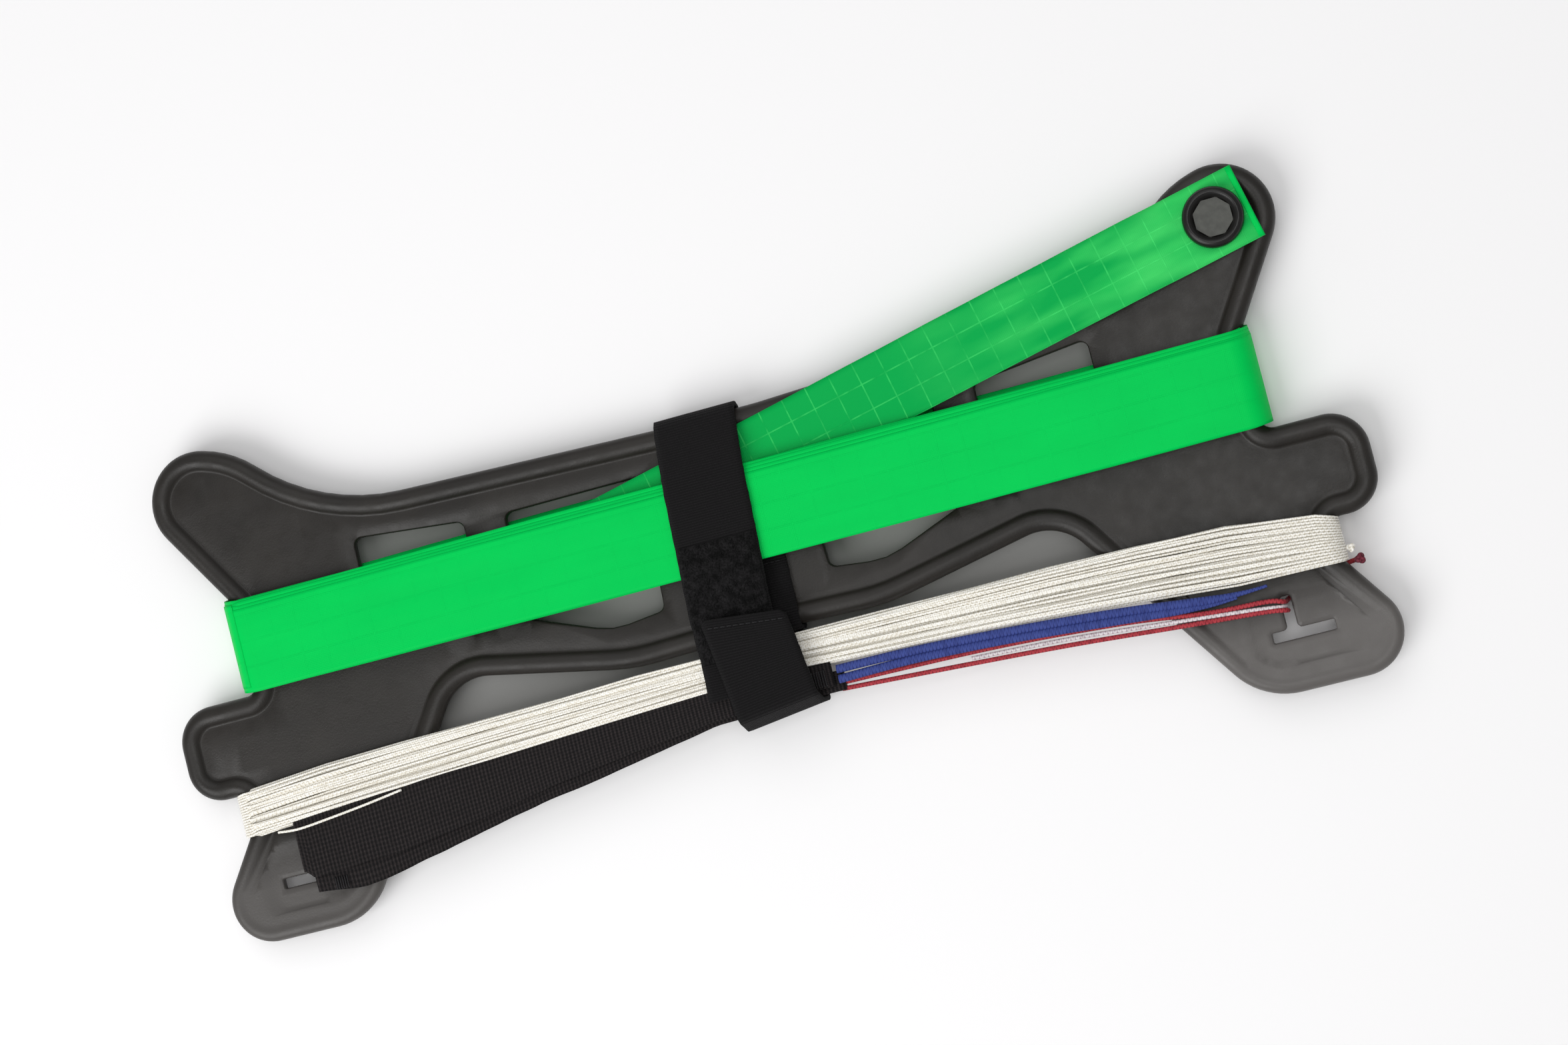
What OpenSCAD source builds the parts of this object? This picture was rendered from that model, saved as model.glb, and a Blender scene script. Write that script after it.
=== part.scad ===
/* [Plate] */
// Thickness of the rounded rim bead, front to back
rim_t = 4.2; // [3.6:0.1:4.4]
// Width of the rim bead
rim_w = 4.2; // [3.6:0.1:4.4]
// Thickness of the web inside the rim
web_t = 2; // [1.6:0.1:2.4]
// Width of the T-slots in the feet
slot_w = 2; // [1.8:0.1:2.4]

/* [Tail] */
// Width of the wound tail ribbon
tail_w = 19; // [15:0.5:19]
// Radial build-up of the wound tail
tail_build = 2.4; // [1:0.1:2.4]
// Width of the free end that carries the snap
flap_w = 15; // [12:0.2:15.4]
// Angle at which the free end crosses the plate, in degrees
flap_angle = 12.3; // [12:0.1:13]

/* [Snap] */
// Outer diameter of the snap socket
snap_d = 11.8; // [11:0.1:12]
// Height of the snap socket
snap_h = 2; // [1.8:0.1:2.4]
// Radius of the socket's bore
snap_bore_r = 3.9; // [3.5:0.1:4.2]
// Depth of the socket's bore
snap_bore_depth = 1.4; // [1.2:0.1:1.6]

/* [Lines] */
// Radial build-up of each wound flying line
line_build = 1; // [0.6:0.1:1]
// Radius of the blue leader's sleeve
blue_r = 0.7; // [0.5:0.1:0.7]
// Radius of the red leader
red_r = 0.6; // [0.4:0.1:0.7]

/* [Straps] */
// Thickness of the webbing of one wrist strap
webbing_t = 1; // [0.8:0.1:1]
// Width of the closure strap
strap_w = 16.6; // [15:0.2:17]
// Thickness of the closure strap
strap_t = 0.9; // [0.7:0.1:0.9]

/* [Hidden] */

arc_step = 12;
round_fn = 48;
gap = 0.3;
rim_z = rim_t / 2;
bundle_r = rim_z + 0.2;

// Inside faces of the closure strap, from the mid-plane of the plate
strap_in_z = 4.9;
// The mid-plane stands this far above the surface that the strap's back run rests on
mid_z = strap_in_z + strap_t;
// The drawing's zero line lies this far below the middle of the outline
mid_y = 5.7;

// Right half of the plate's outline, clockwise from the top: corner x, corner y, corner radius
plate_half = [
    [81.5, 26.7, 43], [97.8, 43, 22], [130.2, 51.7, 10.5], [104.4, 11.2, 4], [104.4, -6.5, 2.5],
    [123.2, -6.5, 7.5], [123.2, -25.9, 7], [112, -25.9, 2.5], [112, -32.5, 2], [128.3, -56.4, 8.5],
    [91.9, -56.4, 14], [62.5, -13.4, 10], [26.2, -20.8, 40]
];
window_inner = [
    [16, 15.9, 1.6], [44.5, 15.9, 1.6], [44.5, -6, 1.2], [28.5, -12.2, 14], [17.2, -10.9, 1.6]
];
window_outer = [[53.3, 16.5, 1.6], [76.6, 19, 1.6], [76.6, -2, 1.6], [53.3, -2, 1.6]];
slot_x = 102.5;
slot_y = -45.4;
slot_l = 12;
slot_stem_x = 100.6;
slot_stem_top = -38;
// Round ends of the dish in each foot: x, y, radius
dish_ends = [[101, -46, 7], [107, -46, 6]];
dish_depth = 0.35;
// The bead's flanks: how much of its thickness they keep, and how far its crown is set in
flank_share = 0.62;
crown_inset = rim_w * 0.2;

// Racetracks of the windings: x of the end centres, middle and width of the band
tail_end_x = 102.3;
tail_y = 3.4;
line_end_x = 109.9;
line_top = [
    [-116, -25.5], [-100, -24], [-80, -23.1], [-40, -22.4], [0, -21.7], [60, -21.2], [80, -21.4],
    [100, -22.2], [116, -25.2]
];
line_bottom = [
    [116, -34.8], [98, -34.7], [80, -33], [45, -30.7], [5, -29.2], [-13, -29.2], [-40, -30.8],
    [-60, -31.8], [-80, -33], [-100, -34.2], [-116, -35.2]
];

// Free end of the tail: middle of its hinge line, and its lengths either way from there
hinge_xy = [44.8, 21.5];
lead_in_l = 92;
flap_l = 69.6;
flap_z = bundle_r + gap;
ribbon_t = 0.2;
hem_l = 0.8;
snap_from_hinge = 62.4;
snap_lip = 0.9;
snap_shoulder = snap_h * 0.55;
cap_r = 5.2;
cap_t = 0.8;
post_r = 1.6;

line_knot_r = 0.9;
red_knot_r = 1.3;
strand_r = 0.3;

// Wrist straps, seen from the front
strap_upper_plan = [
    [-101.8, -35.2], [-101.8, -43.6], [-100.3, -46], [-80, -44.4], [-60, -41.6], [-45, -38.6],
    [-30, -36.6], [-12, -34.6], [12, -34], [13, -29.6], [-13, -29.4], [-40, -31], [-60, -32],
    [-80, -33.2]
];
strap_lower_plan = [
    [-100.5, -44], [-100, -48.8], [-91, -49.8], [-85, -49], [-60, -43.9], [-50, -41.9],
    [-40, -40.4], [-12, -35.4], [12, -34.6], [15, -34.8], [15, -31.6], [-12, -31], [-40, -34],
    [-80, -38]
];
webbing_z = bundle_r + 0.05;

// Leaders: points along the middle of each strand
blue_upper_route = [
    [14, -30.6, 4], [30, -30.8, 4], [50, -31.8, 4], [70, -33.4, 4], [86, -35.2, 3.4], [93, -35.5, 3.1],
    [98, -35.3, 3]
];
blue_lower_route = [
    [14, -32.6, 4], [30, -32.4, 4], [50, -33.3, 4], [70, -34.9, 4], [86, -36.2, 3.3], [92, -36.1, 3.1]
];
red_upper_route = [
    [14, -33.4, 2.6], [45, -34, 2.6], [70, -35.6, 3], [86, -37.6, 3], [97, -38.2, 3],
    [100, -38.9, 2.6], [100.6, -39.1, 0], [101.2, -38.7, -2.4], [104, -37.6, -3], [110, -35.6, -3],
    [114, -34.8, -2.2], [116, -34.6, -0.5]
];
red_lower_route = [
    [14, -34.6, 2.6], [40, -36, 2.6], [60, -37.2, 2.8], [80, -38.8, 3], [96, -40, 3],
    [100, -40.6, 2.6], [100.6, -40.8, 0.4]
];
strand_route = [
    [-106, -34.9, 3.4], [-101, -35.2, 4.7], [-94, -34.6, 4.9], [-86, -33.7, 4.9], [-78, -32.6, 4.6]
];

// Closure strap: inside corners of its loop as y, z, radius
loop_half = [[24.6, 2.6, 1.2], [13, strap_in_z, 2], [-25, strap_in_z, 2], [-36.6, 3, 2]];
strap_x = -1.4;
anchor_x = 0.9;
tab_x = -2.9;
tab_lean = 7.5;
patch_t = 0.5;
tab_z = strap_in_z + strap_t + patch_t + gap + patch_t;
tab_tip_y = -16;
tab_hinge_y = -37.05;
strap_start_y = -31;
// The strap stops here at the bottom, clear of the tab when that is folded right back
strap_end_z = -2;

// Stitches of the closure strap, and bars of the wrist straps' tacks
stitch_count = 12;
stitch_pitch = 1.2;
stitch = [0.7, 0.3, 0.15];
tack_count = 5;
tack_pitch = 0.55;
tack_bar = [0.35, 2.8, 0.2];

ribbon_green = "#00c853";
flap_green = "#4bd873";
plastic_grey = "#34302e";
webbing_black = "#1d1c1e";
line_white = "#ece8dc";

// ---- Points along corners and curves ----
function xy(p) = [p[0], p[1]];
function unit(v) = v / norm(v);
function flipped(list) = [for (i = [len(list) - 1:-1:0]) [-list[i][0], list[i][1], list[i][2]]];
function swing(from, to) = (to - from + 540) % 360 - 180;

// Points of the arc that rounds corner p between its neighbours
function corner_arc(before, p, after) =
    let (
        u = unit(xy(before) - xy(p)),
        v = unit(xy(after) - xy(p)),
        half = acos(u * v) / 2,
        middle = xy(p) + unit(u + v) * p[2] / sin(half),
        first = xy(p) + u * p[2] / tan(half) - middle,
        last = xy(p) + v * p[2] / tan(half) - middle,
        start = atan2(first[1], first[0]),
        turn = swing(start, atan2(last[1], last[0])),
        steps = max(1, ceil(abs(turn) / arc_step))
    )
    [for (i = [0:steps]) middle + p[2] * [cos(start + turn * i / steps), sin(start + turn * i / steps)]];

function rounded(corners) =
    let (n = len(corners))
    [for (i = [0:n - 1]) each corner_arc(corners[(i + n - 1) % n], corners[i], corners[(i + 1) % n])];

function plate_corners() =
    concat([[0, 23.7, 300]], plate_half, [[0, -20, 200]], flipped(plate_half));

// A point of the smooth curve from p1 to p2, with p0 and p3 beyond them
function curve_point(p0, p1, p2, p3, t) =
    0.5 * (2 * p1 + (p2 - p0) * t + (2 * p0 - 5 * p1 + 4 * p2 - p3) * t * t
        + (3 * p1 - p0 - 3 * p2 + p3) * t * t * t);

function smooth_route(points, steps) =
    let (n = len(points))
    [
        for (i = [0:n - 2])
            for (j = [0:steps - 1])
                curve_point(points[max(i - 1, 0)], points[i], points[i + 1],
                    points[min(i + 2, n - 1)], j / steps),
        points[n - 1]
    ];

// ---- Helpers ----
module placed() {
    translate([0, mid_y, mid_z])
        children();
}

module mirrored_x() {
    children();
    mirror([1, 0, 0])
        children();
}

// A cord of radius r along the points
module cord(points, r, sides = 8, steps = 5) {
    route = smooth_route(points, steps);
    n = len(route);
    rings = [
        for (i = [0:n - 1])
            let (
                along = unit(route[min(i + 1, n - 1)] - route[max(i - 1, 0)]),
                side = unit(cross(along, [0.1, 1, 0.05])),
                up = cross(side, along)
            )
            for (k = [0:sides - 1])
                route[i] + r * (side * cos(360 * k / sides) + up * sin(360 * k / sides))
    ];
    walls = [
        for (i = [0:n - 2])
            for (k = [0:sides - 1])
                let (a = i * sides + k, b = i * sides + (k + 1) % sides)
                each [[a, b, b + sides], [a, b + sides, a + sides]]
    ];
    first = [for (k = [sides - 1:-1:0]) k];
    last = [for (k = [0:sides - 1]) (n - 1) * sides + k];
    polyhedron(rings, concat([first], walls, [last]), convexity = 6);
}

// A band wound round two ends at x = +-end_x, from radius r_in out to radius r_out
module racetrack(end_x, r_in, r_out, y_low, y_high) {
    translate([0, y_high, 0])
        rotate([90, 0, 0])
            linear_extrude(y_high - y_low)
                difference() {
                    stadium(end_x, r_out);
                    stadium(end_x, r_in);
                }
}

module stadium(end_x, r) {
    square([2 * end_x, 2 * r], center = true);
    for (side = [-1, 1])
        translate([side * end_x, 0])
            circle(r, $fn = round_fn);
}

// A flat sheet that lies parallel to the plate
module flat(z_low, thickness) {
    translate([0, 0, z_low])
        linear_extrude(thickness)
            children();
}

// A shape drawn in y and z, given a width along x
module across(width) {
    rotate([90, 0, 90])
        translate([0, 0, -width / 2])
            linear_extrude(width)
                children();
}

// ---- Plate ----
module outline() {
    polygon(rounded(plate_corners()));
}

module rim_layer(thickness, inset) {
    linear_extrude(thickness, center = true)
        difference() {
            offset(delta = -inset)
                outline();
            offset(delta = inset - rim_w)
                outline();
        }
}

module t_slot() {
    translate([slot_x, slot_y])
        square([slot_l, slot_w], center = true);
    translate([slot_stem_x - slot_w / 2, slot_y])
        square([slot_w, slot_stem_top - slot_y]);
}

module foot_dish() {
    hull()
        for (end = dish_ends)
            translate(xy(end))
                circle(end[2], $fn = 32);
}

module winder_plate() {
    color(plastic_grey)
        placed()
            difference() {
                union() {
                    linear_extrude(web_t, center = true)
                        offset(delta = -rim_w / 2)
                            outline();
                    rim_layer(rim_t * flank_share, 0);
                    rim_layer(rim_t, crown_inset);
                }
                mirrored_x()
                    linear_extrude(rim_t + 2, center = true) {
                        polygon(rounded(window_inner));
                        polygon(rounded(window_outer));
                        t_slot();
                    }
                mirrored_x()
                    flat(web_t / 2 - dish_depth, rim_t)
                        foot_dish();
            }
}

// ---- Tail ----
module tail_wound() {
    color(ribbon_green)
        placed()
            racetrack(tail_end_x, bundle_r, bundle_r + tail_build,
                tail_y - tail_w / 2, tail_y + tail_w / 2);
}

// Places children in the free end's own frame: x along it from the hinge line, z at its back face
module on_free_end(z) {
    placed()
        translate([hinge_xy[0], hinge_xy[1], z])
            rotate([0, 0, flap_angle])
                children();
}

module tail_lead_in() {
    color(flap_green)
        on_free_end(rim_z)
            translate([-lead_in_l - gap, -flap_w / 2, 0])
                cube([lead_in_l, flap_w, bundle_r - rim_z]);
}

module tail_end_flap() {
    color(flap_green)
        on_free_end(flap_z)
            difference() {
                translate([0, -flap_w / 2, 0])
                    cube([flap_l, flap_w, ribbon_t]);
                translate([snap_from_hinge, 0, -1])
                    cylinder(r = post_r, h = 2, $fn = round_fn);
            }
}

// The last few millimetres are folded back behind the flap
module tail_end_hem() {
    color(flap_green)
        on_free_end(flap_z + ribbon_t)
            translate([flap_l - hem_l, -flap_w / 2, 0])
                cube([hem_l, flap_w, ribbon_t]);
}

// ---- Snap ----
module snap_socket() {
    color("#222021")
        on_free_end(flap_z + ribbon_t)
            translate([snap_from_hinge, 0, 0])
                rotate_extrude($fn = 64)
                    polygon([
                        [0, 0], [snap_d / 2, 0], [snap_d / 2, snap_shoulder],
                        [snap_d / 2 - snap_lip, snap_h], [snap_bore_r, snap_h],
                        [snap_bore_r, snap_h - snap_bore_depth],
                        [0, snap_h - snap_bore_depth]
                    ]);
}

// The cap behind the flap, with the post that rivets into the socket
module snap_cap() {
    color("#222021")
        on_free_end(flap_z)
            translate([snap_from_hinge, 0, 0]) {
                translate([0, 0, -cap_t])
                    cylinder(r = cap_r, h = cap_t, $fn = 64);
                translate([0, 0, -cap_t / 2])
                    cylinder(r = post_r, h = cap_t / 2 + ribbon_t, $fn = round_fn);
            }
}

// ---- Flying lines ----
module line_band() {
    linear_extrude(20, center = true)
        polygon(concat(line_top, line_bottom));
}

module line_winding(r_in) {
    color(line_white)
        placed()
            intersection() {
                racetrack(line_end_x, r_in, r_in + line_build, -40, -15);
                line_band();
            }
}

module flying_line_left_wound() {
    line_winding(bundle_r);
}

module flying_line_right_wound() {
    line_winding(bundle_r + line_build);
}

module flying_line_tail_strand() {
    color(line_white)
        placed()
            cord(strand_route, strand_r, steps = 4);
}

module flying_line_knot() {
    color(line_white)
        placed()
            translate([line_end_x + bundle_r + 2 * line_build + 0.5, -32.2, 0.6])
                sphere(r = line_knot_r, $fn = 24);
}

// ---- Wrist straps ----
module wrist_strap_right() {
    color(webbing_black)
        placed()
            flat(webbing_z, webbing_t)
                polygon(strap_lower_plan);
}

module wrist_strap_left() {
    color(webbing_black)
        placed()
            flat(webbing_z + webbing_t, webbing_t)
                polygon(strap_upper_plan);
}

module bartack(x, y, z) {
    color("#2e2d30")
        placed()
            for (i = [0:tack_count - 1])
                translate([x + tack_pitch * i, y, z])
                    cube(tack_bar);
}

module wrist_strap_left_bartack() {
    bartack(9, -33.3, webbing_z + 2 * webbing_t);
}

module wrist_strap_right_bartack() {
    bartack(-96, -49.2, webbing_z + webbing_t);
}

// ---- Leaders ----
module leader_blue_upper() {
    color("#3c4b91")
        placed()
            cord(blue_upper_route, blue_r);
}

module leader_blue_lower() {
    color("#3c4b91")
        placed()
            cord(blue_lower_route, blue_r);
}

module leader_red_upper() {
    color("#a8282d")
        placed()
            cord(red_upper_route, red_r);
}

module leader_red_lower() {
    color("#a8282d")
        placed()
            cord(red_lower_route, red_r);
}

module leader_red_knot() {
    color("#7a2030")
        placed()
            translate([116, -34.6, 0.8])
                sphere(r = red_knot_r, $fn = 24);
}

// ---- Closure strap ----
function loop_corners(grow) =
    let (side = [for (c = loop_half) [c[0], c[1], c[2] + grow]])
    concat(side, [for (i = [len(side) - 1:-1:0]) [side[i][0], -side[i][1], side[i][2]]]);

module strap_section() {
    difference() {
        offset(r = strap_t, $fn = 24)
            polygon(rounded(loop_corners(0)));
        polygon(rounded(loop_corners(0)));
        translate([-45, strap_end_z])
            square([45 + strap_start_y, 12]);
    }
}

module closure_strap() {
    color(webbing_black)
        placed()
            translate([strap_x, 0, 0])
                across(strap_w)
                    strap_section();
}

module stitch_row(x, y, z) {
    for (i = [0:stitch_count - 1])
        translate([x + stitch_pitch * i, y, z])
            cube(stitch);
}

// The strap's sewn end, in front of and behind the middle of the plate, under the windings
module closure_strap_anchor() {
    color(webbing_black)
        placed()
            translate([anchor_x, 0, 0])
                for (side = [-1, 1])
                    across(strap_w)
                        translate([-20.6, side * (rim_z - 0.4) - 0.45])
                            square([16, 0.9]);
}

module closure_strap_stitching() {
    color("#3a393c")
        placed()
            stitch_row(anchor_x - 7, -7.2, rim_z + 0.05);
}

module strap_loop_patch() {
    color("#161517")
        placed()
            translate([strap_x - strap_w / 2 + 0.6, -24, strap_in_z + strap_t])
                cube([strap_w - 1.2, 24, patch_t]);
}

// Places children in the tab's own frame, turned a little on the plate
module on_tab(z) {
    placed()
        translate([tab_x, 0, z])
            rotate([0, 0, tab_lean])
                children();
}

module strap_hook_tab() {
    color(webbing_black)
        on_tab(0)
            across(strap_w)
                polygon([
                    [tab_hinge_y - strap_t / 2, gap], [tab_hinge_y - strap_t / 2, 3.2],
                    [-35.4, tab_z + strap_t], [tab_tip_y, tab_z + strap_t], [tab_tip_y, tab_z],
                    [-34.8, tab_z], [tab_hinge_y + strap_t / 2, 3], [tab_hinge_y + strap_t / 2, gap]
                ]);
}

module strap_hook_patch() {
    color("#161517")
        on_tab(tab_z - patch_t)
            translate([-strap_w / 2 + 0.8, tab_tip_y - 14, 0])
                cube([strap_w - 1.6, 13.5, patch_t]);
}

module strap_tab_stitching() {
    color("#3a393c")
        on_tab(tab_z + strap_t)
            stitch_row(-7, tab_tip_y - 1.6, 0);
}

winder_plate();
tail_wound();
tail_lead_in();
tail_end_flap();
tail_end_hem();
snap_socket();
snap_cap();
flying_line_left_wound();
flying_line_right_wound();
flying_line_tail_strand();
flying_line_knot();
wrist_strap_left();
wrist_strap_right();
wrist_strap_left_bartack();
wrist_strap_right_bartack();
leader_blue_upper();
leader_blue_lower();
leader_red_upper();
leader_red_lower();
leader_red_knot();
closure_strap();
closure_strap_anchor();
closure_strap_stitching();
strap_loop_patch();
strap_hook_tab();
strap_hook_patch();
strap_tab_stitching();
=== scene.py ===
"""Builds the looks of a kite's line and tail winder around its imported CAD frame."""
import math
import random

import bmesh
import bpy
import numpy as np
from mathutils import Matrix, Vector, geometry, noise


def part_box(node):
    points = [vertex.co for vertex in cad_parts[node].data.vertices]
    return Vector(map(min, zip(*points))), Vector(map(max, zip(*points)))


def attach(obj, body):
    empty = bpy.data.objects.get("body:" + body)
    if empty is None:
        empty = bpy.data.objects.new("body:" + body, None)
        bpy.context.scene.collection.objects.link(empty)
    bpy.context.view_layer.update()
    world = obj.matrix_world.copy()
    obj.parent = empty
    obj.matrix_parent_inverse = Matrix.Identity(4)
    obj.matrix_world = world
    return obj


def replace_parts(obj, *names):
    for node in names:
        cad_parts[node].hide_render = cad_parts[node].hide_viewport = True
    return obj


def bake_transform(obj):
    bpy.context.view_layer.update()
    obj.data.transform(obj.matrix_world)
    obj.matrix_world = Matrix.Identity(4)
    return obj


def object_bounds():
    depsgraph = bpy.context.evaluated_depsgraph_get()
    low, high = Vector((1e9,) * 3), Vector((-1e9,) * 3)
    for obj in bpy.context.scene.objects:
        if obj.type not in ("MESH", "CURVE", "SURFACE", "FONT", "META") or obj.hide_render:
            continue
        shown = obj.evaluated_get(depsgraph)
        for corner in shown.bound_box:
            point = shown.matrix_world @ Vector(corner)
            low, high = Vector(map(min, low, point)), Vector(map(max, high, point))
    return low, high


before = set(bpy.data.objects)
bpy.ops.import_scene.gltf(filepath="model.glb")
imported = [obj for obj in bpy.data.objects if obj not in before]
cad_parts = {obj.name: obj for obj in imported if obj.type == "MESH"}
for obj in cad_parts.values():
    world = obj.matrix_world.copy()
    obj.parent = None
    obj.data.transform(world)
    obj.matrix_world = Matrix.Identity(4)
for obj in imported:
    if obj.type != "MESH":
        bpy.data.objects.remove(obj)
cad_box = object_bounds()

MM = 0.001
plate_low, plate_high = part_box("winder_plate")
MID_Z = (plate_low.z + plate_high.z) / 2
DATUM_Y = 5.7 * MM  # the drawing's zero line, from the middle of the outline

# Heights above the plate's mid-plane, in millimetres
RIM_Z = 2.1
WEB_Z = 1.0
BUNDLE_Z = 2.3
STRAP_IN_Z = 4.9


def at(x, y, z):
    """A point of the drawing, in millimetres from the plate's own zero, as a point of the row frame."""
    return Vector((x * MM, y * MM + DATUM_Y, z * MM + MID_Z))


def srgb(r, g, b):
    """Eight-bit sRGB as linear values."""
    shares = (r / 255, g / 255, b / 255)
    linear = [c / 12.92 if c <= 0.04045 else ((c + 0.055) / 1.055) ** 2.4 for c in shares]
    return (*linear, 1.0)


# ---------------------------------------------------------------- camera, light and floor
VIEW_TOWARDS_RIGHT = 11.26  # degrees that the camera leans towards +X
VIEW_TOWARDS_FEET = 3.0  # degrees that it leans towards -Y
IMAGE_TURN = 14.55  # degrees that +X rises in the picture
AIM_OFFSET = (10.3 * MM, 5.5 * MM)  # from the middle of the box to what the camera looks at
CAMERA_DISTANCE = 0.56
FRAME_WIDTH = 0.308
FLOOR_Z = -0.0002  # just under the plate, so that the two never share a plane
CARD_Z = -0.00019


def aim(obj, target, up):
    """Turns obj so that its -Z looks at target and its +Y is as near up as it can be."""
    back = (obj.location - target).normalized()
    right = up.cross(back).normalized()
    true_up = back.cross(right)
    turned = Matrix((right, true_up, back)).transposed().to_4x4()
    turned.translation = obj.location
    obj.matrix_world = turned


def leaning(towards_right, towards_feet):
    """The direction that leans so many degrees from straight up."""
    right = math.tan(math.radians(towards_right))
    feet = math.tan(math.radians(towards_feet))
    return Vector((right, -feet, 1)).normalized()


def make_camera():
    data = bpy.data.cameras.new("view")
    cam = bpy.data.objects.new("view", data)
    bpy.context.collection.objects.link(cam)
    low, high = cad_box
    target = Vector(((low.x + high.x) / 2 + AIM_OFFSET[0], (low.y + high.y) / 2 + AIM_OFFSET[1], MID_Z))
    cam.location = target + leaning(VIEW_TOWARDS_RIGHT, VIEW_TOWARDS_FEET) * CAMERA_DISTANCE
    turn = math.radians(IMAGE_TURN)
    up = Vector((math.sin(turn), math.cos(turn), 0))
    aim(cam, target, up)
    data.sensor_width = 36
    data.lens = data.sensor_width * CAMERA_DISTANCE / FRAME_WIDTH
    data.clip_start = 0.01
    bpy.context.scene.camera = cam


def area_light(name, place, target, size, power, colour=(1, 1, 1)):
    data = bpy.data.lights.new(name, "AREA")
    data.size = size
    data.energy = power
    data.color = colour
    obj = bpy.data.objects.new(name, data)
    bpy.context.collection.objects.link(obj)
    obj.location = Vector(place)
    aim(obj, Vector(target), Vector((0, 1, 0.01)))


def plain_material(name, colour, roughness):
    mat = bpy.data.materials.new(name)
    mat.use_nodes = True
    shader = mat.node_tree.nodes["Principled BSDF"]
    shader.inputs["Base Color"].default_value = colour
    shader.inputs["Roughness"].default_value = roughness
    return mat


def make_stage():
    scene = bpy.context.scene
    scene.view_settings.view_transform = "Standard"
    world = bpy.data.worlds.new("studio")
    world.use_nodes = True
    background = world.node_tree.nodes["Background"]
    background.inputs["Color"].default_value = (1, 1, 1, 1)
    background.inputs["Strength"].default_value = 0.40
    scene.world = world
    area_light("key", (-0.55, -0.45, 0.75), (0, 0, 0), 0.7, 6.2)
    area_light("fill", (0.16, 0.0, 0.9), (0.05, 0, 0), 0.45, 1.7)
    area_light("top", (0.0, 0.7, 0.9), (0, 0, 0), 0.8, 1.8)
    bpy.ops.mesh.primitive_plane_add(size=6, location=(0, 0, FLOOR_Z))
    floor = bpy.context.object
    floor.name = "floor"
    floor.data.materials.append(plain_material("floor_white", (0.93, 0.925, 0.93, 1), 0.6))


make_camera()
make_stage()


# ---------------------------------------------------------------- mesh helpers
def new_piece(name, verts, faces, material, smooth=True, uvs=None):
    """A mesh object from points in the row frame. uvs is one (u, v) for each vertex."""
    mesh = bpy.data.meshes.new(name)
    mesh.from_pydata([tuple(v) for v in verts], [], [tuple(f) for f in faces])
    if uvs is not None:
        layer = mesh.uv_layers.new(name="UVMap")
        for loop in mesh.loops:
            layer.data[loop.index].uv = uvs[loop.vertex_index]
    mesh.materials.append(material)
    mesh.polygons.foreach_set("use_smooth", [smooth] * len(mesh.polygons))
    mesh.validate()
    mesh.update()
    obj = bpy.data.objects.new(name, mesh)
    bpy.context.collection.objects.link(obj)
    return obj


def outward(obj):
    """Drops a closed mesh's loose vertices and makes every face look outwards."""
    bm = bmesh.new()
    bm.from_mesh(obj.data)
    loose = [v for v in bm.verts if not v.link_faces]
    bmesh.ops.delete(bm, geom=loose, context="VERTS")
    bmesh.ops.recalc_face_normals(bm, faces=bm.faces)
    bm.to_mesh(obj.data)
    bm.free()
    return obj


def smooth_route(points, steps):
    """Points of a Catmull-Rom curve through the given ones."""
    pts = [Vector(p) for p in points]
    n = len(pts)
    out = []
    for i in range(n - 1):
        p0, p1, p2, p3 = pts[max(i - 1, 0)], pts[i], pts[i + 1], pts[min(i + 2, n - 1)]
        for j in range(steps):
            t = j / steps
            out.append(
                0.5 * (2 * p1 + (p2 - p0) * t + (2 * p0 - 5 * p1 + 4 * p2 - p3) * t * t
                       + (3 * p1 - p0 - 3 * p2 + p3) * t * t * t)
            )
    out.append(pts[-1])
    return out


def join_mesh(verts, faces, more_verts, more_faces):
    """Adds the second mesh's vertices and faces to the first's lists."""
    base = len(verts)
    verts += more_verts
    faces += [tuple(base + i for i in face) for face in more_faces]


def tube(path, wide, thick, sides=8):
    """Vertices, faces and uvs of an elliptical tube along a path of row-frame points.
    wide and thick are its half-axes in metres: wide lies in the plane of the plate."""
    verts, faces, uvs = [], [], []
    n = len(path)
    run = 0.0
    for i, p in enumerate(path):
        along = (path[min(i + 1, n - 1)] - path[max(i - 1, 0)]).normalized()
        side = along.cross(Vector((0.02, 0.1, 1)))
        if side.length < 0.2:
            side = along.cross(Vector((0, 1, 0.1)))
        side.normalize()
        up = side.cross(along)
        if i:
            run += (p - path[i - 1]).length
        for k in range(sides):
            a = 2 * math.pi * k / sides
            verts.append(p + side * (wide * math.cos(a)) + up * (thick * math.sin(a)))
            uvs.append((run, k / sides))
    for i in range(n - 1):
        for k in range(sides):
            a, b = i * sides + k, i * sides + (k + 1) % sides
            faces.append((a, b, b + sides, a + sides))
    faces.append(tuple(range(sides - 1, -1, -1)))
    faces.append(tuple(range((n - 1) * sides, n * sides)))
    return verts, faces, uvs


def swing(a, b):
    """The turn from angle a to angle b, the short way round."""
    return (b - a + 3 * math.pi) % (2 * math.pi) - math.pi


def corner_arc(before, p, after, r):
    """Middle, start angle and turn of the arc of radius r that rounds the corner at p."""
    u, v = (before - p).normalized(), (after - p).normalized()
    half = math.acos(max(-1, min(1, u.dot(v)))) / 2
    middle = p + (u + v).normalized() * (r / math.sin(half))
    first, last = p + u * (r / math.tan(half)) - middle, p + v * (r / math.tan(half)) - middle
    start = math.atan2(first.y, first.x)
    return middle, start, swing(start, math.atan2(last.y, last.x))


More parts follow.
